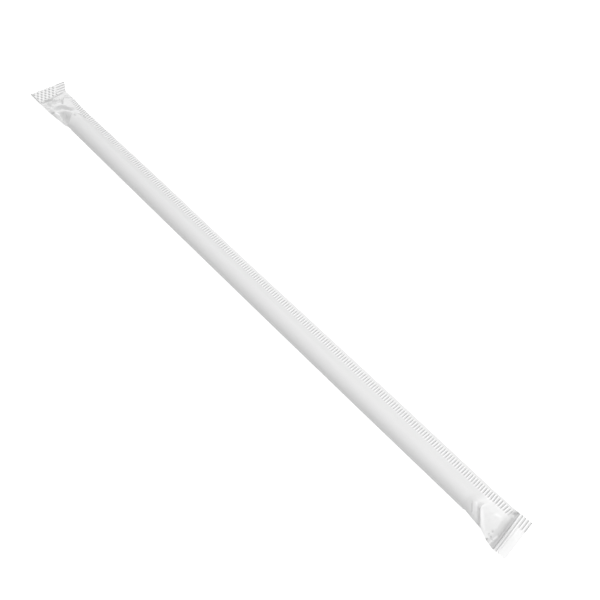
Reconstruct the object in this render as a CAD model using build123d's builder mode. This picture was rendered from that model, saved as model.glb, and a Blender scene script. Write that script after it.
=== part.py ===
"""A paper-wrapped drinking straw, sealed along one side and crimped flat at both ends.

X runs along the straw, Y towards the long side seam and Z up, in millimetres. The wrapper lies on a
small flat along the underside of its round tube, with the origin on that flat, at mid length.
"""
from build123d import *
from math import acos, asin, cos, degrees, radians, sin, tan
import os

# Straw, and the paper tube drawn snugly round it
straw_diameter = 6.0
straw_length = 210.0
paper = 0.08
loose_tube = 5.7
resting_flat = 1.6

# How far the folded ends reach beyond the round tube
far_reach = 19.5
near_reach = 19.2

# Long side seam: two layers of paper pressed together between ridged rollers
seam_root = 5.0
seam_inner = 4.5
seam_overlap = 0.3
ridge_band = 2.2
plain_margin = 0.95
ridge_pitch = 1.04
ridge_height = 0.26

# The seam droops at the far end and rises towards the near one, by a slow twist. Each row has a
# share of the tube's length, from its far end, and the seam's slope there in degrees.
seam_twist = [(-0.1, -9.0), (0.43, -5.0), (0.59, 1.0), (0.79, 9.0), (1.01, 11.5), (1.05, 2.5)]

# Ridges pressed into the two end seals
seal_ridges = 6
seal_ridge_height = 0.26

tube_radius = straw_diameter / 2 + paper
tube_axis_height = (tube_radius**2 - (resting_flat / 2) ** 2) ** 0.5
tube_length = straw_length + loose_tube
tube_far_end = (far_reach - near_reach - tube_length) / 2
tube_near_end = tube_far_end + tube_length
web_angle = degrees(acos(tube_radius / seam_root))
seam_paper = 2 * paper
ridge_start = seam_inner - seam_overlap
ridge_end = seam_inner + ridge_band
seam_edge = ridge_end + plain_margin

# Folds past the far end of the tube, from the tube outwards. Points are (distance beyond the tube's
# end, Y, Z). Each row has the fold's -Y and +Y edge points, then how far the upper and the lower
# face bulge between them, from -Y to +Y.
far_folds = [
    ((2.9, -2.9, 1.5), (4.8, 5.4, 2.2), (1.6, 2.2, 2.3, 1.9, 0.9), (0.8, 1.2, 1.2, 0.9, 0.4)),
    ((6.7, -3.5, 1.3), (8.9, 7.0, 1.8), (1.2, 1.0, 1.7, 1.3, 0.6), (0.5, 0.7, 0.7, 0.5, 0.2)),
    ((9.5, -3.4, 1.6), (10.9, 6.9, 1.0), (0.6, 1.2, 0.7, 1.1, 0.5), (0.3, 0.5, 0.5, 0.3, 0.1)),
]

# Corners of a flat end seal: its inner edge at -Y and +Y, then its outer edge
far_seal = [(12.4, -3.9, 1.7), (13.3, 7.6, 0.8), (far_reach, -3.9, 1.6), (17.9, 10.1, 1.2)]

# The same for the near end: the paper folds over the brow of a flat facet, then drops to the seal
near_folds = [
    ((7.0, -3.2, 1.4), (1.6, 4.9, 3.95), (3.1, 3.6, 3.3, 2.5, 1.2), (1.0, 1.4, 1.7, 1.5, 0.9)),
    ((11.1, -4.6, 0.7), (10.5, 5.4, 3.25), (0.8, 1.5, 1.8, 1.7, 1.1), (0.2, 0.6, 0.9, 0.9, 0.5)),
]
near_seal = [(14.0, -4.9, 0.5), (11.1, 8.6, 3.3), (near_reach, -4.6, 0.5), (16.4, 9.1, 3.2)]
seam_far_end = tube_far_end - 5.7
seam_near_end = tube_near_end + 11.2


def far_point(point):
    """Place of a point that is given by its distance beyond the tube's far end."""
    return Vector(tube_far_end - point[0], point[1], point[2])


def near_point(point):
    """Place of a point that is given by its distance beyond the tube's near end."""
    return Vector(tube_near_end + point[0], point[1], point[2])


def seam_tilt(x):
    """Slope of the side seam at x, in degrees, by straight runs between the listed places."""
    share = (x - tube_far_end) / tube_length
    for (s0, a0), (s1, a1) in zip(seam_twist, seam_twist[1:]):
        if share <= s1:
            return a0 + (a1 - a0) * (share - s0) / (s1 - s0)
    return seam_twist[-1][1]


def twist_places(start, end):
    """The ends of a run along the straw, and the places between them where the twist changes."""
    places = [tube_far_end + tube_length * share for share, _ in seam_twist]
    return [start] + [x for x in places if start < x < end] + [end]


def seam_level(x, y):
    """Height of the seam's mid plane at a place."""
    return tube_axis_height + y * tan(radians(seam_tilt(x)))


def on_tube(angle, radius=tube_radius):
    """Point of the round section, with Y to the right and Z up, at an angle from +Y."""
    return (radius * cos(radians(angle)), radius * sin(radians(angle)))


def web_end(angle, tilt):
    """Point where a web that leaves the tube at an angle meets the inner line of the seam."""
    start, root = on_tube(angle), on_tube(tilt, seam_root)
    share = (seam_inner - start[0]) / (root[0] - start[0])
    return (seam_inner, start[1] + (root[1] - start[1]) * share)


def tube_section(x):
    """Round tube with a small flat below, whose two webs close towards the seam."""
    tilt = seam_tilt(x)
    upper, lower = tilt + web_angle, 360 + tilt - web_angle
    half_flat = degrees(asin(resting_flat / 2 / tube_radius))
    plane = Plane(origin=(x, 0, tube_axis_height), x_dir=(0, 1, 0), z_dir=(1, 0, 0))
    with BuildSketch(plane) as section:
        with BuildLine():
            CenterArc((0, 0), tube_radius, upper, 180 - upper)
            CenterArc((0, 0), tube_radius, 180, 90 - half_flat)
            Line(on_tube(270 - half_flat), on_tube(270 + half_flat))
            CenterArc((0, 0), tube_radius, 270 + half_flat, lower - 270 - half_flat)
            Polyline(on_tube(lower), web_end(lower, tilt), web_end(upper, tilt), on_tube(upper))
        make_face()
    return section.sketch


def seam_slice(y, ridge):
    """Lengthwise slice through the seam at y: a zigzag of ridges, or a plain strip with none."""
    count = round((seam_near_end - seam_far_end) / ridge_pitch)
    step = (seam_near_end - seam_far_end) / count / 2
    xs = [seam_far_end + step * i for i in range(2 * count + 1)]
    lift = [ridge / 2 * (1 if i % 2 else -1) for i in range(2 * count + 1)]
    if not ridge:
        xs = twist_places(seam_far_end, seam_near_end)
        lift = [0] * len(xs)
    top = [(x, seam_level(x, y) + up + seam_paper / 2) for x, up in zip(xs, lift)]
    bottom = [(x, seam_level(x, y) + up - seam_paper / 2) for x, up in zip(xs, lift)]
    with BuildSketch(Plane.XZ.offset(-y)) as slice_sketch:
        with BuildLine():
            Polyline(*top, *reversed(bottom), close=True)
        make_face()
    return slice_sketch.sketch


def tube_ring(x):
    """Twelve points round the tube's section at x, from its -Y side over the top and back below."""
    tilt = seam_tilt(x)
    over = [on_tube(angle) for angle in (180, 150, 120, 90, tilt + web_angle)]
    under = [on_tube(angle) for angle in (tilt - web_angle, -90, -120, -150)]
    upper_end, lower_end = web_end(tilt + web_angle, tilt), web_end(360 + tilt - web_angle, tilt)
    middle = (seam_inner, (upper_end[1] + lower_end[1]) / 2)
    ring = [*over, upper_end, middle, lower_end, *under]
    return [Vector(x, y, z + tube_axis_height) for y, z in ring]


def fold_ring(left, right, rise, drop):
    """Twelve points round a fold between its two edge points."""
    places = [left + (right - left) * (i + 1) / (len(rise) + 1) for i in range(len(rise))]
    over = [place + Vector(0, 0, up) for place, up in zip(places, rise)]
    under = [place - Vector(0, 0, down) for place, down in zip(places, drop)]
    return [left, *over, right, *reversed(under)]


def seal_rings(inner_left, inner_right, outer_left, outer_right):
    """Rings along a flat end seal, from its inner edge out, that step up and down as its ridges."""
    count = 2 * seal_ridges
    rings = []
    for i in range(count + 1):
        left = inner_left + (outer_left - inner_left) * i / count
        right = inner_right + (outer_right - inner_right) * i / count
        lift = seal_ridge_height / 2 * (1 if i % 2 else -1)
        up, down = [seam_paper / 2] * 5, [seam_paper / 2] * 5
        rings.append(fold_ring(left + Vector(0, 0, lift), right + Vector(0, 0, lift), up, down))
    return rings


def folded_paper(rings):
    """Closed solid of flat creased faces through a row of rings."""
    faces = [Face(Wire.make_polygon(ring)) for ring in (rings[0], rings[-1])]
    for near, far in zip(rings, rings[1:]):
        for i in range(len(near)):
            j = (i + 1) % len(near)
            faces.append(Face(Wire.make_polygon([near[i], near[j], far[j]])))
            faces.append(Face(Wire.make_polygon([near[i], far[j], far[i]])))
    return Solid(Shell(faces))


def end_rings(tube_end, place, folds, seal):
    """Rings of a whole folded end, from the tube out to the seal's edge."""
    folded = [fold_ring(place(left), place(right), rise, drop) for left, right, rise, drop in folds]
    return [tube_ring(tube_end), *folded, *seal_rings(*[place(corner) for corner in seal])]


with BuildPart() as wrapped_straw:
    loft([tube_section(x) for x in twist_places(tube_far_end, tube_near_end)], ruled=True)
    far_end = folded_paper(end_rings(tube_far_end, far_point, far_folds, far_seal))
    near_end = folded_paper(end_rings(tube_near_end, near_point, near_folds, near_seal))
    add([far_end, near_end], clean=False)
    loft([seam_slice(y, 0) for y in (ridge_end, seam_edge)], ruled=True, clean=False)
    loft([seam_slice(y, ridge_height) for y in (ridge_start, ridge_end)], ruled=True, clean=False)

wrapped_straw.part.label = "wrapped_straw"
os.makedirs("parts", exist_ok=True)
export_step(wrapped_straw.part, "parts/wrapped_straw.step")
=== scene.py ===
"""A drinking straw sealed in a white paper wrapper: its folded paper, the floor, light and camera."""

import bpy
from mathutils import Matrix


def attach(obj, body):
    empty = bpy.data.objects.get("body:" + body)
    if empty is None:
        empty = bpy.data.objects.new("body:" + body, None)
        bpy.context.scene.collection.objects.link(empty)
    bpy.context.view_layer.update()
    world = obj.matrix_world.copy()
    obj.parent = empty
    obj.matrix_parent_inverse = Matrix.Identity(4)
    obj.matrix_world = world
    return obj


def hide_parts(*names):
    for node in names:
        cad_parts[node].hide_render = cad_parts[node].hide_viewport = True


bl_info = {
    "name": "Wrapped Drinking Straw",
    "version": (1, 0, 0),
    "blender": (4, 5, 0),
    "location": "View3D > Sidebar > Straw",
    "description": "Builds a paper-wrapped drinking straw with its ridged seam, seals and folded ends",
    "category": "Add Mesh",
}

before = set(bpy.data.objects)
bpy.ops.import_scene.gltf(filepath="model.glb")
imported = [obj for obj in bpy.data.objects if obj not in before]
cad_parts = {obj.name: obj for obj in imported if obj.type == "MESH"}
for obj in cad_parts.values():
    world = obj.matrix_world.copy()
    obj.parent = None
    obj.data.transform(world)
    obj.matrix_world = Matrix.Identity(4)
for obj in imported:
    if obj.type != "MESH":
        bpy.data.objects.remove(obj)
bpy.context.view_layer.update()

import math

import bpy
import numpy as np
from bpy.props import FloatProperty, FloatVectorProperty, IntProperty, PointerProperty
from mathutils import Vector

MM = 0.001

# Rows of points across the folded paper, in millimetres, from the round tube outwards. Each row has
# the upper face's points from the -Y fold to the seam's inner line, the seam's outer edge, how far
# the lower face bulges down between the first point and the last, and how rounded the row is.
FAR_ROWS = [
    ([(-104.6, -3.05, 2.0), (-103.5, -2.95, 3.6), (-103.3, -2.0, 5.0), (-104.8, -0.1, 5.85),
      (-105.6, 1.7, 4.9), (-105.2, 3.5, 3.5), (-104.5, 4.45, 2.3)], (-105.0, 6.9, 1.9),
     (1.4, 1.8, 1.9, 1.6, 0.8), 0.8),
    ([(-105.8, -2.85, 0.9), (-105.4, -2.2, 1.2), (-105.5, -1.3, 1.2), (-106.4, 0.2, 1.5),
      (-107.1, 1.9, 3.6), (-106.4, 3.4, 3.2), (-105.8, 4.5, 2.3)], (-106.1, 6.85, 1.9),
     (0.4, 0.8, 0.9, 1.0, 0.7), 0.2),
    ([(-108.6, -3.0, 0.9), (-108.4, -2.4, 1.3), (-108.7, -1.5, 0.9), (-109.2, -0.3, 1.4),
      (-108.6, 1.6, 3.2), (-107.5, 3.2, 3.0), (-106.8, 4.5, 2.3)], (-107.0, 6.85, 1.9),
     (0.4, 0.8, 0.9, 1.0, 0.7), 0.0),
    ([(-110.6, -3.3, 1.1), (-110.1, -2.5, 2.8), (-110.4, -1.3, 2.6), (-110.6, -0.2, 3.1),
      (-109.8, 1.6, 2.8), (-108.4, 3.1, 2.6), (-107.8, 4.6, 2.25)], (-108.1, 6.85, 1.9),
     (0.5, 0.8, 1.0, 1.0, 0.5), 0.0),
    ([(-113.8, -3.6, 1.2), (-113.2, -2.7, 2.3), (-113.2, -1.5, 2.0), (-112.8, 0.2, 2.2),
      (-111.5, 1.5, 2.2), (-109.6, 2.9, 2.4), (-109.2, 4.7, 2.2)], (-109.6, 6.9, 1.85),
     (0.5, 0.8, 0.9, 0.8, 0.4), 0.0),
    ([(-115.3, -3.8, 1.4), (-115.0, -2.6, 2.1), (-115.0, -1.0, 2.6), (-113.9, 0.9, 3.2),
      (-112.3, 2.0, 3.3), (-110.4, 3.2, 3.05), (-110.6, 4.9, 2.25)], (-111.2, 7.0, 1.8),
     (0.5, 0.7, 0.8, 0.7, 0.4), 0.0),
    ([(-117.4, -3.9, 1.5), (-117.3, -2.5, 1.7), (-117.0, -0.6, 2.0), (-116.2, 1.2, 2.1),
      (-115.4, 2.7, 2.3), (-114.0, 4.0, 2.45), (-114.0, 5.4, 1.95)], (-114.2, 7.3, 1.55),
     (0.3, 0.5, 0.6, 0.5, 0.3), 0.0),
    ([(-118.9, -3.9, 1.7), (-118.6, -2.6, 2.3), (-118.6, -0.9, 2.4), (-118.3, 0.7, 2.6),
      (-118.1, 2.4, 2.3), (-117.9, 4.2, 1.9), (-117.3, 5.8, 1.5)], (-116.9, 7.5, 1.35),
     (0.2, 0.3, 0.3, 0.3, 0.2), 0.0),
]
NEAR_ROWS = [
    ([(110.9, -3.0, 1.7), (111.2, -2.95, 2.9), (111.0, -2.6, 4.0), (110.3, -0.9, 5.3),
      (110.1, 1.2, 5.6), (110.0, 3.0, 4.8), (109.9, 4.6, 3.9)], (109.9, 7.5, 4.45),
     (0.8, 1.4, 1.7, 1.5, 0.9), 0.7),
    ([(115.5, -3.35, 1.5), (114.9, -2.9, 1.9), (113.4, -1.9, 2.6), (111.1, -0.2, 4.5),
      (111.3, 1.5, 5.25), (111.4, 3.0, 4.8), (111.3, 4.7, 3.9)], (111.3, 7.6, 4.45),
     (0.9, 1.6, 1.8, 1.5, 0.8), 0.0),
    ([(116.0, -4.15, 3.0), (115.2, -3.6, 3.8), (113.6, -2.05, 4.65), (111.3, 0.0, 5.3),
      (111.9, 1.6, 5.25), (112.1, 3.1, 4.8), (112.1, 4.75, 3.9)], (112.1, 7.65, 4.4),
     (0.9, 1.6, 1.8, 1.5, 0.8), 0.0),
    ([(119.85, -5.25, 1.95), (119.6, -3.9, 2.9), (119.4, -2.2, 3.5), (119.15, -0.2, 4.1),
      (118.7, 1.7, 4.45), (117.9, 3.4, 4.3), (117.0, 4.95, 3.9)], (117.6, 8.05, 3.85),
     (0.3, 0.7, 1.0, 1.0, 0.6), 0.1),
    ([(121.2, -5.15, 1.3), (121.05, -3.7, 1.9), (120.85, -2.1, 2.4), (120.6, -0.3, 2.9),
      (120.15, 1.7, 3.3), (119.7, 3.5, 3.45), (119.25, 5.25, 3.4)], (118.8, 8.4, 3.5),
     (0.1, 0.3, 0.5, 0.5, 0.3), 0.3),
]

# Flat end seals: inner -Y, inner +Y, outer -Y and outer +Y corners, and their ridges' pitch
FAR_SEAL = ((-120.1, -3.9, 1.7), (-121.0, 7.6, 0.8), (-127.2, -3.9, 1.6), (-125.6, 10.1, 1.2))
NEAR_SEAL = ((122.0, -4.9, 0.5), (119.1, 8.6, 3.25), (127.2, -4.6, 0.5), (124.4, 9.1, 3.2))
FAR_PITCH, NEAR_PITCH = 1.28, 1.14

# Small creases and dents in the upper face: the line they follow in X and Y, half width and height
MARKS = [
    ([(-118.2, 4.4), (-116.3, 3.1), (-114.4, 1.9)], 0.32, -0.40),
    ([(-119.9, -0.5), (-119.5, 0.0)], 0.80, -0.45),
    ([(-119.4, 1.2), (-117.8, 0.2)], 0.30, 0.45),
    ([(-119.4, 2.0), (-117.4, 1.0)], 0.30, -0.38),
    ([(-119.6, 3.2), (-117.2, 2.6)], 0.35, 0.40),
    ([(-119.0, 4.9), (-118.2, 6.6)], 0.30, -0.40),
    ([(-119.6, -2.6), (-117.6, -1.9), (-115.8, -1.8)], 0.40, -0.40),
    ([(-117.9, -3.6), (-115.9, -2.3)], 0.35, 0.20),
    ([(-113.4, -3.4), (-112.4, -2.1), (-110.4, -1.0)], 0.30, -0.30),
    ([(-106.0, 1.0), (-105.3, 3.3), (-103.8, 4.3)], 0.28, -0.30),
    ([(-103.4, 0.2), (-103.0, 0.3)], 0.35, -0.25),
    ([(-117.0, 4.6), (-116.2, 7.2)], 0.30, 0.18),
    ([(108.6, -1.0), (110.0, -2.2), (110.7, -2.9)], 0.30, -0.22),
    ([(109.6, -0.4), (111.0, -1.7), (111.8, -2.6)], 0.35, 0.12),
    ([(119.1, -2.3), (119.3, -2.4)], 0.35, -0.28),
    ([(119.2, -3.9), (119.4, -3.9)], 0.25, -0.20),
    ([(120.2, -4.0), (120.5, -3.7)], 0.28, -0.25),
    ([(116.2, 1.8), (117.2, 2.4)], 0.50, 0.12),
    ([(121.0, -5.0), (120.9, -3.6), (120.9, -2.2)], 0.28, 0.20),
    ([(118.6, 6.6), (118.8, 7.3)], 0.35, -0.30),
    ([(119.2, 8.0), (119.3, 8.5)], 0.30, -0.30),
]

# Painted shade in creases, pockets, hollows and along seal edges, and painted highlights on fold edges and
# bulges: the line it follows in X and Y, half width, and how much greyer, or whiter if less than 0
PAINTED_SHADE_AND_HIGHLIGHTS = [
    ([(-105.5, -0.2), (-106.8, -0.6), (-108.5, -0.5), (-110.0, -0.7)], 1.10, 0.38),
    ([(-105.1, -1.4), (-107.2, -1.9)], 0.80, 0.30),
    ([(-112.4, -2.4), (-110.2, -2.7), (-108.6, -2.7)], 0.45, -1.20),
    ([(-113.8, -3.3), (-112.1, -2.1), (-111.0, -1.4)], 0.30, 0.60),
    ([(-117.8, 4.5), (-116.3, 3.1), (-114.4, 1.9)], 0.28, 0.80),
    ([(-117.8, 4.8), (-116.4, 7.0)], 0.25, 0.90),
    ([(-106.5, 1.1), (-105.3, 3.5), (-103.6, 4.4)], 0.30, 1.10),
    ([(-104.0, 0.7), (-104.3, 0.9)], 0.40, 0.70),
    ([(-114.7, -0.7), (-111.8, 1.7), (-108.5, 3.0)], 0.70, 0.18),
    ([(-120.0, -1.0), (-119.4, 0.2)], 0.85, 1.00),
    ([(-118.1, 1.1), (-117.7, 1.5)], 0.40, 0.60),
    ([(-127.0, -3.75), (-119.8, -4.0)], 0.25, 1.20),
    ([(-120.1, -3.0), (-120.4, 2.0), (-120.8, 6.0)], 0.25, 0.90),
    ([(121.8, -5.0), (120.9, 0.0), (119.7, 4.9), (119.0, 7.3)], 0.95, 0.50),
    ([(120.7, -5.1), (120.8, -1.9)], 0.22, -0.80),
    ([(118.7, 7.0), (119.3, 8.3)], 0.35, 0.60),
    ([(119.2, 6.2), (119.3, 6.1)], 0.28, -0.80),
    ([(111.0, -0.6), (113.0, -2.2), (114.4, -3.4)], 0.50, 0.55),
    ([(112.3, -0.5), (115.0, -2.6), (117.0, -4.0), (119.0, -4.5)], 0.50, -0.70),
    ([(119.3, -4.95), (119.4, -4.75)], 0.30, 1.80),
    ([(108.8, -1.2), (110.3, -2.5)], 0.20, 0.60),
    ([(109.6, 0.0), (111.1, -1.4)], 0.25, -0.60),
    ([(119.05, -2.2), (119.1, -2.3)], 0.22, 0.60),
    ([(119.8, -3.6), (119.9, -3.5)], 0.22, 0.70),
    ([(118.8, -3.5), (118.9, -3.4)], 0.18, 0.60),
    ([(116.2, 1.8), (117.2, 2.4)], 0.50, -0.40),
]

# Places along the straw, in millimetres, with the seam's slope and its ridges' slant in degrees, and
# the width of the plain margin outside the ridges
SEAM_SLOPES = [(-129.3, -9.0), (-15.0, -5.0), (19.6, 1.0), (62.7, 9.0), (110.2, 11.5), (118.8, 2.5)]
RIDGE_SLANTS = [(-113, 11), (-88, 6), (-66, 5), (15, 6), (52, 2), (86, 1.5), (102, 5), (112, 9), (119, 11)]
MARGIN_WIDTHS = [(-113, 0.1), (-97, 0.3), (-75, 0.75), (-53, 0.95), (128, 0.95)]

# Where the seam's ridges start and end along the straw, and the length of their fade there
RIDGES_FROM, RIDGES_TO = (-115.8, 1.0), (118.6, 1.5)

# How many times the creases of each end's folds are softened, and the share of a seal's width that
# goes on from the folds, with the rest going on from the seam
FAR_SOFTNESS, NEAR_SOFTNESS = 4, 9
SEAL_SPLIT = 0.77

# How quickly, per depth of a seal, its ridges rise and its two faces are pressed together, and how
# deep the far seal's dents are, in half heights of a ridge
RISE_RATE, PRESS_RATE = 12, 8
KNURL_DEPTH = 1.25

# Unevenness of the paper: height and size of its features in millimetres, and the noise's seed
FOLD_CRINKLE, FINE_CRINKLE, TUBE_WAVES = (0.06, 2.4, 3), (0.03, 1.0, 4), (0.02, 3.0, 7)

# How white the paper is painted, from 0 for one layer to 1 for two pressed together: between the seam's
# ridges, where ridges run onto the web, in the folds of each end, and in the near seal. The whiteness of two
# layers is partly their own and partly painted light, on the web's ridge crests it is painted highlight, and
# in the folds painted light.
SEAM_WHITE, WEB_CREST_HIGHLIGHT = 0.3, 0.6
FAR_FOLD_PAINTED_LIGHT, NEAR_FOLD_PAINTED_LIGHT, NEAR_SEAL_WHITE = 0.36, 0.6, 0.9

# Width and relief of the clumps of fibres in the paper, in millimetres. Single fibres are too fine to
# show, so they are drawn as clumps about as wide as a fibre is long.
FIBRE_CLUMP, FIBRE_RELIEF = 0.9, 0.05

# Mesh columns over the tube, across the seam and under the tube, how many columns beside the seam are
# as fine along the straw as the seam is, and how much of a row over or under the tube comes before
# its web
OVER, SEAM, UNDER = 56, 11, 18
FINE_OVER, FINE_UNDER = 6, 1
ROUND_SHARE = 0.7


class StrawSizes(bpy.types.PropertyGroup):
    """Sizes of the paper wrapper"""
    tube_radius: FloatProperty(name="Tube radius", description="Radius of the paper round the straw",
                               default=3.08 * MM, unit="LENGTH")
    far_folds: FloatProperty(name="Far folds", description="Where the round tube ends at -X",
                             default=-101.5 * MM, unit="LENGTH")
    near_folds: FloatProperty(name="Near folds", description="Where the round tube ends at +X",
                              default=107.0 * MM, unit="LENGTH")
    resting_flat: FloatProperty(name="Resting flat", description="Width of the flat that it lies on",
                                default=1.6 * MM, unit="LENGTH")
    bow: FloatProperty(name="Bow", description="How far the middle bows away from the seam",
                       default=0.33 * MM, unit="LENGTH")
    seam_root: FloatProperty(name="Seam root", description="Where the paper would close, from the axis",
                             default=4.62 * MM, unit="LENGTH")
    seam_inner: FloatProperty(name="Seam inner line", description="Distance from the tube's axis",
                              default=4.5 * MM, unit="LENGTH")
    ridge_band: FloatProperty(name="Ridge band", description="Length of each seam ridge",
                              default=2.2 * MM, unit="LENGTH")
    ridge_pitch: FloatProperty(name="Ridge pitch", description="Distance between seam ridges",
                               default=1.04 * MM, unit="LENGTH")
    ridge_height: FloatProperty(name="Ridge height", description="Height of the seam ridges",
                                default=0.36 * MM, unit="LENGTH")
    seal_height: FloatProperty(name="Seal ridge height", description="Height of the seals' ridges",
                               default=0.36 * MM, unit="LENGTH")
    knurl_pitch: FloatProperty(name="Knurl pitch", description="Distance between dents along a seal",
                               default=1.55 * MM, unit="LENGTH")
    paper: FloatProperty(name="Seam thickness", description="Two layers of paper pressed together",
                         default=0.10 * MM, unit="LENGTH")
    fold_step: FloatProperty(name="Fold step", description="Mesh spacing in the folded ends",
                             default=0.16 * MM, unit="LENGTH")
    samples: IntProperty(name="Samples", description="Mesh rows in each seam ridge", default=6, min=4)


class PaperFinish(bpy.types.PropertyGroup):
    """Colours of the paper"""
    wrap_hex: IntProperty(name="Over the straw", description="One layer over the straw, as sRGB hex",
                          default=0xE4E4E4, min=0, max=0xFFFFFF)
    # Two layers pressed together: partly their own whiter look, partly painted light
    seam_hex: IntProperty(name="Seam and seals", description="Two layers, which look whiter, as sRGB hex",
                          default=0xFBFBFB, min=0, max=0xFFFFFF)
    # Painted shade colour for ridge valleys, knurl dents and creases
    painted_shade_hex: IntProperty(name="Pressed lines", description="Paper pressed thin, as sRGB hex",
                             default=0xC2C2C2, min=0, max=0xFFFFFF)
    fibre_contrast: FloatProperty(name="Fibres", description="How much the fibres mottle the paper",
                                  default=0.03, subtype="FACTOR")


class StudioSettings(bpy.types.PropertyGroup):
    """Camera, light and floor of the studio"""
    camera_place: FloatVectorProperty(name="Camera place", description="Where the camera stands",
                                      default=(0.286094, -0.210967, 0.419731), unit="LENGTH", size=3)
    camera_pitch: FloatProperty(name="Pitch", description="How far the camera looks down",
                                default=math.radians(49.91), subtype="ANGLE")
    camera_yaw: FloatProperty(name="Yaw", description="How far the view turns from +Y towards -X",
                              default=math.radians(50.93), subtype="ANGLE")
    lens: FloatProperty(name="Lens", description="Focal length on a 36 mm sensor", default=99.06)
    sky: FloatProperty(name="Sky", description="Level of the even light from all round", default=0.56)
    key: FloatProperty(name="Key", description="Power of the broad lamp above the near end", default=1.20)
    key_place: FloatVectorProperty(name="Key place", description="Where the broad lamp hangs",
                                   default=(0.2, 0.07, 0.55), unit="LENGTH", size=3)
    key_size: FloatProperty(name="Key size", description="Width of the broad lamp", default=0.4,
                            unit="LENGTH")
    rake: FloatProperty(name="Rake", description="Strength of the low light along the straw", default=1.245)
    rake_place: FloatVectorProperty(name="Rake place", description="Where the low light comes from",
                                    default=(-0.85, 0.2, 0.5), unit="LENGTH", size=3)
    rake_angle: FloatProperty(name="Rake angle", description="How wide the low light looks from the straw",
                              default=math.radians(25), subtype="ANGLE")
    floor_hex: IntProperty(name="Floor", description="Colour of the floor, as sRGB hex",
                           default=0xF2F2F2, min=0, max=0xFFFFFF)
    floor_glow: FloatProperty(name="Floor glow", default=0.75,
                              description="Added to the floor as the camera and reflections see it")
    floor_reach: FloatProperty(name="Floor reach", description="From the middle to each side of the floor",
                               default=3.0, unit="LENGTH")
    floor_gap: FloatProperty(name="Floor gap", description="Keeps the floor just below the paper",
                             default=0.02 * MM, unit="LENGTH")


# Nodes and tables

def linear(hex_value):
    """Linear colour of an sRGB hex value."""
    shades = [(hex_value >> shift & 255) / 255 for shift in (16, 8, 0)]
    return (*[s / 12.92 if s <= 0.04045 else ((s + 0.055) / 1.055) ** 2.4 for s in shades], 1.0)


def add_node(tree, kind, values=(), links=()):
    """Adds a node, sets its properties or sockets, and links its inputs."""
    node = tree.nodes.new(kind)
    for name, value in dict(values).items():
        if isinstance(name, str) and name not in node.inputs:
            setattr(node, name, value)
        else:
            node.inputs[name].default_value = value
    for name, output in dict(links).items():
        tree.links.new(output, node.inputs[name])
    return node


def new_material(name):
    """An empty node material and its tree."""
    material = bpy.data.materials.new(name)
    material.use_nodes = True
    material.node_tree.nodes.clear()
    return material, material.node_tree


def listed(table, x):
    """Value at x between the places of a table."""
    return np.interp(x, [row[0] for row in table], [row[1] for row in table])


def ease(value):
    """Clipped to 0 to 1, with a soft start and end."""
    value = np.clip(value, 0, 1)
    return value * value * (3 - 2 * value)


# Shape of the paper

class Section:
    """The round tube, its webs and the seam, in millimetres."""

    def __init__(self, sizes):
        self.radius = sizes.tube_radius / MM
        self.axis = math.sqrt(self.radius**2 - (sizes.resting_flat / MM / 2) ** 2)
        self.inner = sizes.seam_inner / MM
        self.band = sizes.ridge_band / MM
        self.half = sizes.paper / MM / 2
        self.far, self.near = sizes.far_folds / MM, sizes.near_folds / MM
        self.bow = sizes.bow / MM
        self.web = math.acos(self.radius / (sizes.seam_root / MM))

    def centre(self, x):
        """Sideways place of the tube's axis, which bows gently."""
        middle, reach = (self.far + self.near) / 2, (self.near - self.far) / 2
        return -self.bow * max(0.0, 1 - ((x - middle) / reach) ** 2)

    def half_ring(self, x, share, side):
        """Points of the upper (side 1) or lower (side -1) face at x, from -Y to the seam."""
        slope = math.radians(listed(SEAM_SLOPES, x))
        turn = np.clip(share / ROUND_SHARE, 0, 1)
        angle = side * math.pi + (slope + side * self.web - side * math.pi) * turn
        y, z = self.radius * np.cos(angle), self.radius * np.sin(angle)
        along = np.array([math.cos(slope), math.sin(slope)])
        up = np.array([-math.sin(slope), math.cos(slope)])
        end = along * self.inner + up * side * self.half
        run = np.clip((share - ROUND_SHARE) / (1 - ROUND_SHARE), 0, 1)
        y, z = y + (end[0] - y) * run, z + (end[1] - z) * run
        return np.stack([np.full_like(y, x), y + self.centre(x), np.maximum(z + self.axis, 0)], -1)

    def seam_line(self, x):
        """Inner line and outer edge of the seam at x."""
        slope = math.radians(listed(SEAM_SLOPES, x))
        along = np.array([0.0, math.cos(slope), math.sin(slope)])
        axis = np.array([x, self.centre(x), self.axis])
        return axis + along * self.inner, axis + along * (self.inner + self.band + listed(MARGIN_WIDTHS, x))


def across_row(points, share, roundness):
    """Line through a row's points at each share: straight runs at 0, a smooth curve at 1."""
    points = np.array(points, float)
    place = share * (len(points) - 1)
    low = np.minimum(place.astype(int), len(points) - 2)
    t = (place - low)[:, None]
    start, end = points[low], points[low + 1]
    slopes = np.gradient(points, axis=0)
    curve = (start * (2 * t**3 - 3 * t**2 + 1) + slopes[low] * (t**3 - 2 * t**2 + t)
             + end * (3 * t**2 - 2 * t**3) + slopes[low + 1] * (t**3 - t**2))
    return (start + (end - start) * t) * (1 - roundness) + curve * roundness


def lower_row(left, right, drops):
    """Points of a row's lower face, which bulges down between its two edges."""
    share = np.linspace(0, 1, len(drops) + 2)[:, None]
    return left + (right - left) * share - np.array([0, 0, 1]) * np.array([0, *drops, 0])[:, None]


def between(rows, stations):
    """Grid through key rows, by straight runs from one row to the next."""
    rows = np.array(rows)
    low = np.minimum(stations.astype(int), len(rows) - 2)
    t = (stations - low).reshape(-1, *[1] * (rows.ndim - 1))
    return rows[low] * (1 - t) + rows[low + 1] * t


def rounded(grid, times):
    """Softens creases by averaging neighbours, with the grid's border kept."""
    for _ in range(times):
        around = (grid[:-2, 1:-1] + grid[2:, 1:-1] + grid[1:-1, :-2] + grid[1:-1, 2:]) / 4
        grid[1:-1, 1:-1] = (grid[1:-1, 1:-1] + around) / 2
    return grid


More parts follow.
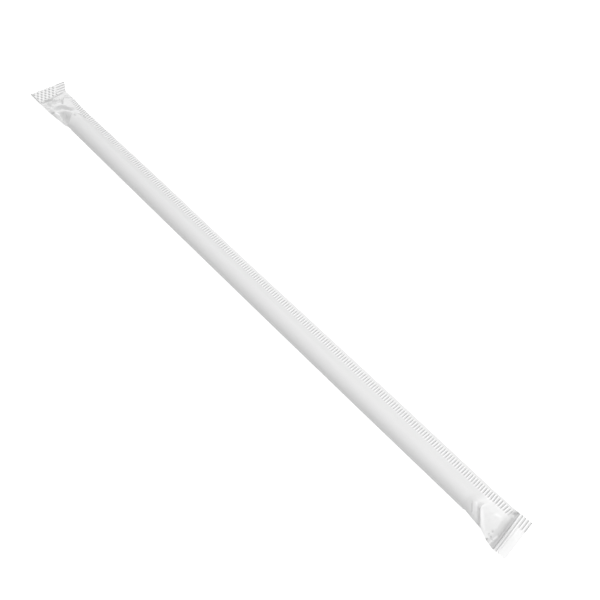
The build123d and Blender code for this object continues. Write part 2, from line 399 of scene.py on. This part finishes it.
def folded_end(section, rows, seal, start, step, softness):
    """One folded end: its upper and lower face and the seam's two lines, then each mesh row's station,
    which counts key rows from the end of the tube."""
    over_share, under_share = np.linspace(0, 1, OVER), np.linspace(0, 1, UNDER)
    inner, edge = section.seam_line(start)
    over = [section.half_ring(start, over_share, 1)]
    under = [section.half_ring(start, under_share, -1)]
    inners, edges = [inner], [edge]
    for points, outer, drops, roundness in rows:
        over.append(across_row(points, over_share, roundness))
        lower = lower_row(np.array(points[0]), np.array(points[-1]), drops)
        under.append(across_row(lower, under_share, 1.0))
        inners.append(np.array(points[-1]))
        edges.append(np.array(outer))
    for left, right in (seal[:2], seal[2:]):
        left, right = np.array(left), np.array(right)
        inner = left + (right - left) * SEAL_SPLIT
        over.append(left + (inner - left) * over_share[:, None])
        under.append(left + (inner - left) * under_share[:, None])
        inners.append(inner)
        edges.append(right)
    fewest, stations = 3, []
    for i in range(len(over) - 1):
        longest = np.linalg.norm(over[i + 1] - over[i], axis=1).max()
        count = max(fewest, round(longest / step))
        stations += [i + k / count for k in range(count)]
    stations = np.array(stations + [len(over) - 1.0])
    faces = [rounded(between(part, stations), softness) for part in (over, under)]
    return (*faces, between(inners, stations), between(edges, stations)), stations


def drawn(table, grid):
    """Sum at each point of a table's soft lines, each with its half width and its height."""
    x, y = grid[..., 0], grid[..., 1]
    total = np.zeros_like(x)
    for line, width, height in table:
        nearest = np.full_like(x, np.inf)
        for (x0, y0), (x1, y1) in zip(line, line[1:]):
            dx, dy = x1 - x0, y1 - y0
            t = np.clip(((x - x0) * dx + (y - y0) * dy) / (dx * dx + dy * dy), 0, 1)
            nearest = np.minimum(nearest, (x - x0 - t * dx) ** 2 + (y - y0 - t * dy) ** 2)
        total += height * np.exp(-nearest / width**2)
    return total


def crinkle(x, y, height, size, seed):
    """Even noise of one height with features of one size, as a sum of waves."""
    waves, highest = 14, 5
    draw = np.random.default_rng(seed)
    total = np.zeros_like(x)
    for _ in range(waves):
        angle, phase = draw.uniform(0, 2 * math.pi), draw.uniform(0, 2 * math.pi)
        wave = 2 * math.pi / size * draw.uniform(0.6, 1.6)
        total += np.sin(wave * (x * math.cos(angle) + y * math.sin(angle)) + phase)
    return height * (total / highest)


def ripple(place, pitch):
    """Broad ridges with narrow valleys, from 1 to -1."""
    narrowness = 1.8
    valley = (1 - np.cos(2 * math.pi * place / pitch)) / 2
    return 1 - 2 * valley**narrowness


def ring_of(over, top, low, under):
    """Columns of closed rings: over the tube, out along the seam, back below it and under the tube."""
    return np.concatenate([over[:, :-1], top, low[:, ::-1], under[:, -2:0:-1]], axis=1)


class Wrapper:
    """Grid of the whole paper surface in millimetres, with how white and how grey each point is painted:
    double paper, painted highlights and light, and painted shade.

    far_seal and near_seal rise from 0 at a seal's inner edge to 1 at its outer edge, and loose rises
    from 0 on the round tube to 1 in the folds.
    """

    def __init__(self, sizes):
        self.section = section = Section(sizes)
        self.pitch, self.knurl_pitch = sizes.ridge_pitch / MM, sizes.knurl_pitch / MM
        self.height, self.seal_height = sizes.ridge_height / MM / 2, sizes.seal_height / MM / 2
        step = sizes.fold_step / MM
        far, far_at = folded_end(section, FAR_ROWS, FAR_SEAL, section.far, step, FAR_SOFTNESS)
        near, near_at = folded_end(section, NEAR_ROWS, NEAR_SEAL, section.near, step, NEAR_SOFTNESS)
        ridges = round((section.near - section.far) / self.pitch)
        xs = np.linspace(section.far, section.near, ridges * sizes.samples + 1)[1:-1]
        over_share, under_share = np.linspace(0, 1, OVER), np.linspace(0, 1, UNDER)
        inner, edge = zip(*[section.seam_line(x) for x in xs])
        middle = (np.stack([section.half_ring(x, over_share, 1) for x in xs]),
                  np.stack([section.half_ring(x, under_share, -1) for x in xs]),
                  np.array(inner), np.array(edge))
        self.over, self.under, self.inner, self.edge = (
            np.concatenate([before[::-1], tube, after]) for before, tube, after in zip(far, middle, near))
        plain = np.zeros(len(xs))
        in_far, in_near = (np.clip(at - at[-1] + 1, 0, 1) for at in (far_at, near_at))
        self.far_seal = np.concatenate([in_far[::-1], plain, np.zeros_like(in_near)])
        self.near_seal = np.concatenate([np.zeros_like(in_far), plain, in_near])
        self.loose = np.concatenate([np.clip(far_at, 0, 1)[::-1], plain, np.clip(near_at, 0, 1)])
        self.seal_ends = [np.count_nonzero(self.far_seal), -np.count_nonzero(self.near_seal) - 1]
        # Rows of the coarse mesh: every row of the folded ends, and one row per ridge between them
        first, last = len(far_at) - 1, len(far_at) + len(xs)
        self.rows = [*range(first), *range(first, last, sizes.samples), *range(last, last + len(near_at))]
        self.shape()

    def seal_pattern(self, points):
        """The seals' embossing at a grid's points, and from 0 to 1 whether each point is in the knurl
        and clear of its rim."""
        # Widths of the ridged strip beside the seam, its soft border, and the knurl's side and end rims
        strip, border, side_rim, end_rim = 4.2, 0.5, 0.5, 0.3
        left, right = self.over[:, :1], self.edge[:, None]
        width = np.linalg.norm(right - left, axis=2)
        across = np.linalg.norm(points - left, axis=2)
        beside_seam = ease((across - width + strip) / border)
        left_depth, right_depth = (np.linalg.norm(line[[0, -1]] - line[self.seal_ends], axis=1)
                                   for line in (self.over[:, 0], self.edge))
        # Depth in the seal, from its outer edge, in ridge pitches
        depth = 0
        for end, pitch, part in ((0, FAR_PITCH, self.far_seal), (1, NEAR_PITCH, self.near_seal)):
            local = left_depth[end] + (right_depth[end] - left_depth[end]) * across / width
            depth = depth + ((1 - part) * (part > 0))[:, None] * local / pitch
        held = ease(np.maximum(self.far_seal, self.near_seal) * RISE_RATE)[:, None]
        in_far = self.far_seal[:, None] > 0
        phase = 0.25
        lines = ripple(depth + phase, 1)

        # The far seal is knurled, but for a strip of plain ridges beside the seam
        steepness, lowered, flat_top = 1.6, 0.2, 0.6
        dents = -np.cos(math.pi * depth) * np.cos(2 * math.pi * across / self.knurl_pitch)
        dents = np.clip(dents * steepness - lowered, -KNURL_DEPTH, flat_top)
        far = lines * beside_seam + dents * (1 - beside_seam)
        knurled = (1 - beside_seam) * in_far * held
        from_rim = ease(across / side_rim) * ease(depth * FAR_PITCH / end_rim)

        # The near seal has that strip too, ridges along its inner edge, and is almost plain elsewhere
        plain_depth, faint = 2.2, 0.06
        near = lines * np.clip(beside_seam + ease((depth - plain_depth) / border), faint, 1)
        return np.where(in_far, far, near) * held, knurled, from_rim

    def seam_ripple(self, distance):
        """Ridges of the seam at a distance from its inner line, which is negative on the web."""
        outer_fade, inner_fade = 0.3, 0.4
        x = self.inner[:, :1]
        place = x + np.tan(np.radians(listed(RIDGE_SLANTS, x))) * distance
        outside = ease((self.section.band - distance) / outer_fade + 0.5)
        inside = np.where(distance < 0, 0.5 * np.exp(distance / inner_fade),
                          0.5 + 0.5 * ease(distance / inner_fade))
        (start, rise), (end, fall) = RIDGES_FROM, RIDGES_TO
        run = ease((x - start) / rise) * ease((end - x) / fall)
        return ripple(place, self.pitch) * outside * inside * run

    def shape(self):
        """Adds ridges, creases and unevenness, and joins the faces into closed rings."""
        across = self.edge - self.inner
        normal = np.cross(np.gradient(self.inner, axis=0), across)
        self.normal = (normal / np.linalg.norm(normal, axis=1, keepdims=True))[:, None]
        self.pressed = ease(np.maximum(self.far_seal, self.near_seal) * PRESS_RATE)[:, None]
        share = np.linspace(0, 1, SEAM)
        seam = self.inner[:, None] + across[:, None] * share[None, :, None]
        ridges = self.seam_ripple(share[None] * np.linalg.norm(across, axis=1)[:, None]) * (1 - self.pressed)
        seal_ridges = self.seal_pattern(seam)[0]
        seam = seam + self.normal * (ridges * self.height + seal_ridges * self.seal_height)[..., None]
        seam[..., 2] += drawn(MARKS, seam) * (1 - self.pressed)
        under_ridges, knurled, _ = self.seal_pattern(self.under)
        lift = under_ridges * (1 - knurled) * self.seal_height - self.pressed * self.section.half
        under = self.under + self.normal * lift[..., None]
        over, web_ridges, over_ridges = self.upper_face(under)
        half = self.normal * self.section.half
        self.ring = ring_of(over, seam + half, seam - half, under)
        self.ring[..., 2] = np.maximum(self.ring[..., 2], 0)
        self.shade(seam, ridges + seal_ridges, over, web_ridges, over_ridges)

    def upper_face(self, under):
        """Upper face with its embossing, creases and unevenness, kept clear of the lower one, and its
        ridges on the web and in the seals."""
        # How far ridges run onto the web, how deep and wide the far seal's side rolls down, and the
        # width of the side fold, where the two faces meet
        on_web, roll_depth, roll_width, fold_width = 1.6, 0.22, 0.25, 0.12
        web = np.linalg.norm(self.over - self.inner[:, None], axis=2)
        web_ridges = self.seam_ripple(-web) * (web < on_web) * (1 - self.pressed)
        ridges, knurled, from_rim = self.seal_pattern(self.over)
        # The knurl's dents reach down to the flat lower face, and fade out at the seal's rim
        knurl_share = 0.75
        raised = ridges * (1 - knurled) + (ridges + KNURL_DEPTH) * knurl_share * knurled * from_rim
        lift = web_ridges * self.height + raised * self.seal_height + self.pressed * self.section.half
        over = self.over + self.normal * lift[..., None]
        from_fold = np.linalg.norm(self.over - self.over[:, :1], axis=2)
        over[..., 2] -= roll_depth * np.exp(-from_fold / roll_width) * (self.far_seal[:, None] > 0)

        # Marks and unevenness fade out at both borders of the face and in the seals
        fade = np.minimum(1, 4 * np.sin(math.pi * np.linspace(0, 1, OVER)))[None] * (1 - self.pressed)
        x, y = over[..., 0], over[..., 1]
        near_crinkle, wave_stretch = 0.3, 0.35
        loose = self.loose[:, None] * np.where(x < 0, 1, near_crinkle)
        uneven = loose * (crinkle(x, y, *FOLD_CRINKLE) + crinkle(x, y, *FINE_CRINKLE))
        uneven += crinkle(x * wave_stretch, y, *TUBE_WAVES)
        over[..., 2] += fade * (drawn(MARKS, over) + uneven)
        clear = 2 * self.section.half * ease(from_fold / fold_width)
        for row in np.flatnonzero(self.loose):
            below = np.interp(over[row, :, 1], under[row, :, 1], under[row, :, 2])
            over[row, 1:, 2] = np.maximum(over[row, 1:, 2], (below + clear[row])[1:])
        return over, web_ridges, ridges

    def shade(self, seam, seam_ridges, over, web_ridges, over_ridges):
        """How white each point is painted, for double paper and as painted highlight and light on crests and
        folds, and how grey, as painted shade in valleys, dents and creases.
        """
        # Painted shade and painted highlights along the creases and fold edges of the table
        seam_painted_tone, over_painted_tone = drawn(PAINTED_SHADE_AND_HIGHLIGHTS, seam), drawn(PAINTED_SHADE_AND_HIGHLIGHTS, over)
        # Painted highlight on the crests of the seam's ridges; the seals are whiter where two layers are
        # pressed together, partly of their own and partly as painted light
        sealed = self.pressed * np.where(self.near_seal > 0, NEAR_SEAL_WHITE, 1.0)[:, None]
        white = np.maximum(SEAM_WHITE + (1 - SEAM_WHITE) * np.clip(seam_ridges, 0, 1), sealed)
        # The folds are painted lighter from this far into them, and the painted shade in valleys is narrower
        # over the tube
        folded, shade_narrowing = 0.3, 1.4
        fold_painted_light = np.where(over[..., 0] < 0, FAR_FOLD_PAINTED_LIGHT, NEAR_FOLD_PAINTED_LIGHT)
        # Painted highlight on the crests of ridges on the web, and painted light in the folds
        layers = WEB_CREST_HIGHLIGHT * np.clip(web_ridges, 0, 1) + ease(self.loose - folded)[:, None] * fold_painted_light
        over_white = np.clip(np.maximum(sealed, layers) - np.minimum(over_painted_tone, 0), 0, 1)
        under_white = self.pressed * np.ones((1, UNDER))
        self.white = ring_of(over_white, white, white, under_white)
        # Painted shade: greyer in the valleys of the seam's, web's and seals' ridges, in the knurl's dents
        # and along the listed creases
        grey = np.clip(-seam_ridges, 0, 1) + np.clip(seam_painted_tone, 0, 1)
        over_painted_shade = np.clip(-web_ridges - over_ridges, 0, 1) ** shade_narrowing + np.clip(over_painted_tone, 0, 1)
        self.grey = np.minimum(ring_of(over_painted_shade, grey, grey, np.zeros_like(under_white)), 1)

    def faces(self):
        """Quads round the rings, finer beside the seam, where the coarse rows meet in fans."""
        around = self.ring.shape[1]
        fine_from, fine_to = OVER - 1 - FINE_OVER, OVER - 1 + 2 * SEAM - 1 + FINE_UNDER
        out = []
        for r0, r1 in zip(self.rows, self.rows[1:]):
            for j in range(around):
                k = (j + 1) % around
                if fine_from <= j < fine_to:
                    out += [(r * around + j, r * around + k, (r + 1) * around + k, (r + 1) * around + j)
                            for r in range(r0, r1)]
                elif j == fine_from - 1 and r1 - r0 > 1:
                    out += self.fan(r0, r1, j, k, around)
                elif j == fine_to and r1 - r0 > 1:
                    out += [tuple(reversed(face)) for face in self.fan(r0, r1, k, j, around)]
                else:
                    out.append((r0 * around + j, r0 * around + k, r1 * around + k, r1 * around + j))
        return out

    @staticmethod
    def fan(r0, r1, coarse, fine, around):
        """Triangles between one coarse step and the fine steps beside it."""
        a, b = r0 * around + coarse, r1 * around + coarse
        half = (r0 + r1) // 2
        start = [(a, r * around + fine, (r + 1) * around + fine) for r in range(r0, half)]
        end = [(b, r * around + fine, (r + 1) * around + fine) for r in range(half, r1)]
        return start + [(a, half * around + fine, b)] + end

    def caps(self):
        """Triangles that close both ends, between an upper and a lower edge with unlike counts."""
        rows, around = self.ring.shape[:2]
        top = list(range(OVER - 1 + SEAM))
        low = [0, *range(around - 1, OVER - 2 + SEAM, -1)]
        out = []
        for row in (0, rows - 1):
            reach = np.linalg.norm(self.ring[row] - self.ring[row, 0], axis=1)
            i = j = 0
            while i < len(top) - 1 or j < len(low) - 1:
                low_done = j == len(low) - 1
                if low_done or (i < len(top) - 1 and reach[top[i + 1]] <= reach[low[j + 1]]):
                    face, i = (top[i], top[i + 1], low[j]), i + 1
                else:
                    face, j = (top[i], low[j + 1], low[j]), j + 1
                if len(set(face)) == 3:
                    face = tuple(row * around + n for n in face)
                    out.append(face if row else face[::-1])
        return out


def build_wrapper(sizes, finish):
    """Builds the paper as one closed mesh and gives it its material."""
    wrapper = Wrapper(sizes)
    faces = wrapper.faces() + wrapper.caps()
    # The mesh takes only the points that a face uses
    points = wrapper.ring.reshape(-1, 3)
    used = np.unique(np.concatenate([np.array(face) for face in faces]))
    index = np.full(len(points), -1)
    index[used] = np.arange(len(used))
    mesh = bpy.data.meshes.new("paper_wrapper")
    mesh.from_pydata((points[used] * MM).tolist(), [], [tuple(index[list(face)].tolist()) for face in faces])
    # Colour attributes: whiteness of double paper, partly painted light, with painted highlights, and
    # painted shade
    for name, values in (("double_paper_and_painted_light", wrapper.white), ("painted_crease_shade", wrapper.grey)):
        layer = mesh.attributes.new(name, "FLOAT", "POINT")
        layer.data.foreach_set("value", values.reshape(-1)[used].astype(np.float32))
    sharpest_smooth = math.radians(70)
    mesh.shade_smooth()
    mesh.set_sharp_from_angle(angle=sharpest_smooth)
    piece = bpy.data.objects.new("paper_wrapper", mesh)
    bpy.context.collection.objects.link(piece)
    mesh.materials.append(thin_white_paper(finish))
    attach(piece, "root")
    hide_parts("wrapped_straw")


def thin_white_paper(finish):
    """Bleached tissue-weight wrapping paper: matte, mottled by fibres, whiter where it is double, partly as
    painted light, with painted highlights on ridge crests and folds and painted shade in valleys and
    creases.
    """
    material, tree = new_material("thin_white_paper")
    place = add_node(tree, "ShaderNodeTexCoord").outputs["Object"]
    fibres = add_node(tree, "ShaderNodeTexNoise",
                      {"Scale": 1 / (FIBRE_CLUMP * MM), "Detail": 5.0, "Roughness": 0.65}, {"Vector": place})
    # Whiteness of double paper with painted light and highlights, and painted shade, from the mesh's
    # attributes
    double = add_node(tree, "ShaderNodeAttribute", {"attribute_name": "double_paper_and_painted_light"})
    pressed = add_node(tree, "ShaderNodeAttribute", {"attribute_name": "painted_crease_shade"})
    layers = add_node(tree, "ShaderNodeMix", {"data_type": "RGBA"}, {0: double.outputs["Fac"]})
    layers.inputs[6].default_value = linear(finish.wrap_hex)
    layers.inputs[7].default_value = linear(finish.seam_hex)
    # Painted shade: greyer in ridge valleys, knurl dents and creases
    lines = add_node(tree, "ShaderNodeMix", {"data_type": "RGBA"},
                     {0: pressed.outputs["Fac"], 6: layers.outputs[2]})
    lines.inputs[7].default_value = linear(finish.painted_shade_hex)
    mottle = add_node(tree, "ShaderNodeMapRange", {"To Min": 1 - finish.fibre_contrast, "To Max": 1.0},
                      {"Value": fibres.outputs["Fac"]})
    tint = add_node(tree, "ShaderNodeMix", {"data_type": "RGBA", "blend_type": "MULTIPLY", 0: 1.0},
                    {6: lines.outputs[2], 7: mottle.outputs["Result"]})
    bump = add_node(tree, "ShaderNodeBump", {"Strength": 0.2, "Distance": FIBRE_RELIEF * MM},
                    {"Height": fibres.outputs["Fac"]})
    # Soft uncoated paper: a dull surface with hardly any shine
    values = {"Roughness": 0.8, "IOR": 1.45, "Specular IOR Level": 0.25}
    shader = add_node(tree, "ShaderNodeBsdfPrincipled", values,
                      {"Base Color": tint.outputs[2], "Normal": bump.outputs["Normal"]})
    add_node(tree, "ShaderNodeOutputMaterial", {}, {"Surface": shader.outputs["BSDF"]})
    return material


class STRAW_OT_wrapper(bpy.types.Operator):
    """Builds the paper wrapper: tube, ridged side seam, end seals and folds"""
    bl_idname = "straw.wrapper"
    bl_label = "Paper wrapper"

    def execute(self, context):
        build_wrapper(context.scene.straw_sizes, context.scene.straw_paper)
        return {"FINISHED"}


# Studio

def white_floor(settings):
    """Matte white table that the camera and reflections see as plain white, with a faint shadow left."""
    material, tree = new_material("white_floor")
    matte = add_node(tree, "ShaderNodeBsdfDiffuse", {"Color": linear(settings.floor_hex)})
    path = add_node(tree, "ShaderNodeLightPath").outputs
    seen = path["Is Camera Ray"]
    for ray in ("Is Glossy Ray", "Is Transmission Ray"):
        seen = add_node(tree, "ShaderNodeMath", {"operation": "ADD"}, {0: seen, 1: path[ray]}).outputs[0]
    level = add_node(tree, "ShaderNodeMath", {"operation": "MULTIPLY", 1: settings.floor_glow}, {0: seen})
    glow = add_node(tree, "ShaderNodeEmission", {}, {"Strength": level.outputs[0]})
    both = add_node(tree, "ShaderNodeAddShader", {}, {0: matte.outputs[0], 1: glow.outputs[0]})
    add_node(tree, "ShaderNodeOutputMaterial", {}, {"Surface": both.outputs[0]})
    return material


def add_lamp(kind, name, strength, place, spread):
    """A soft lamp that shines from its place towards the middle of the straw. Its spread is an angle
    for a sun, or else a width."""
    lamp = bpy.data.lights.new(name, kind)
    lamp.energy = strength
    setattr(lamp, "angle" if kind == "SUN" else "size", spread)
    item = bpy.data.objects.new(name, lamp)
    item.location = place
    item.rotation_euler = Vector(place).to_track_quat("Z", "Y").to_euler()
    bpy.context.collection.objects.link(item)


def build_studio(settings):
    """Builds the floor, the even sky, two soft lamps and the camera."""
    scene = bpy.context.scene
    reach = settings.floor_reach
    corners = [(-reach, -reach, 0), (reach, -reach, 0), (reach, reach, 0), (-reach, reach, 0)]
    mesh = bpy.data.meshes.new("floor")
    mesh.from_pydata(corners, [], [(0, 1, 2, 3)])
    mesh.materials.append(white_floor(settings))
    floor = bpy.data.objects.new("floor", mesh)
    floor.location.z = -settings.floor_gap
    scene.collection.objects.link(floor)

    scene.world = scene.world or bpy.data.worlds.new("studio")
    scene.world.use_nodes = True
    sky = scene.world.node_tree.nodes["Background"]
    sky.inputs["Color"].default_value = (1, 1, 1, 1)
    sky.inputs["Strength"].default_value = settings.sky
    add_lamp("AREA", "key", settings.key, settings.key_place, settings.key_size)
    add_lamp("SUN", "rake", settings.rake, settings.rake_place, settings.rake_angle)

    camera = bpy.data.objects.new("camera", bpy.data.cameras.new("camera"))
    camera.data.lens = settings.lens
    camera.data.sensor_width = 36.0
    camera.data.clip_start = 0.01
    camera.location = settings.camera_place
    camera.rotation_euler = (math.pi / 2 - settings.camera_pitch, 0, settings.camera_yaw)
    scene.collection.objects.link(camera)
    scene.camera = camera
    scene.view_settings.view_transform = "Standard"


class STRAW_OT_studio(bpy.types.Operator):
    """Builds the white floor, the soft light and the camera"""
    bl_idname = "straw.studio"
    bl_label = "Studio"

    def execute(self, context):
        build_studio(context.scene.straw_studio)
        return {"FINISHED"}


class STRAW_PT_panel(bpy.types.Panel):
    """Lists the straw's pieces in the sidebar"""
    bl_idname = "STRAW_PT_panel"
    bl_label = "Wrapped straw"
    bl_space_type = "VIEW_3D"
    bl_region_type = "UI"
    bl_category = "Straw"

    def draw(self, context):
        for operator in (STRAW_OT_wrapper, STRAW_OT_studio):
            self.layout.operator(operator.bl_idname)


GROUPS = {"straw_sizes": StrawSizes, "straw_paper": PaperFinish, "straw_studio": StudioSettings}
CLASSES = (*GROUPS.values(), STRAW_OT_wrapper, STRAW_OT_studio, STRAW_PT_panel)


def register():
    for cls in CLASSES:
        bpy.utils.register_class(cls)
    for name, group in GROUPS.items():
        setattr(bpy.types.Scene, name, PointerProperty(type=group))


def unregister():
    for name in GROUPS:
        delattr(bpy.types.Scene, name)
    for cls in reversed(CLASSES):
        bpy.utils.unregister_class(cls)


def main():
    register()
    bpy.ops.straw.wrapper()
    bpy.ops.straw.studio()


if __name__ == "__main__":
    main()
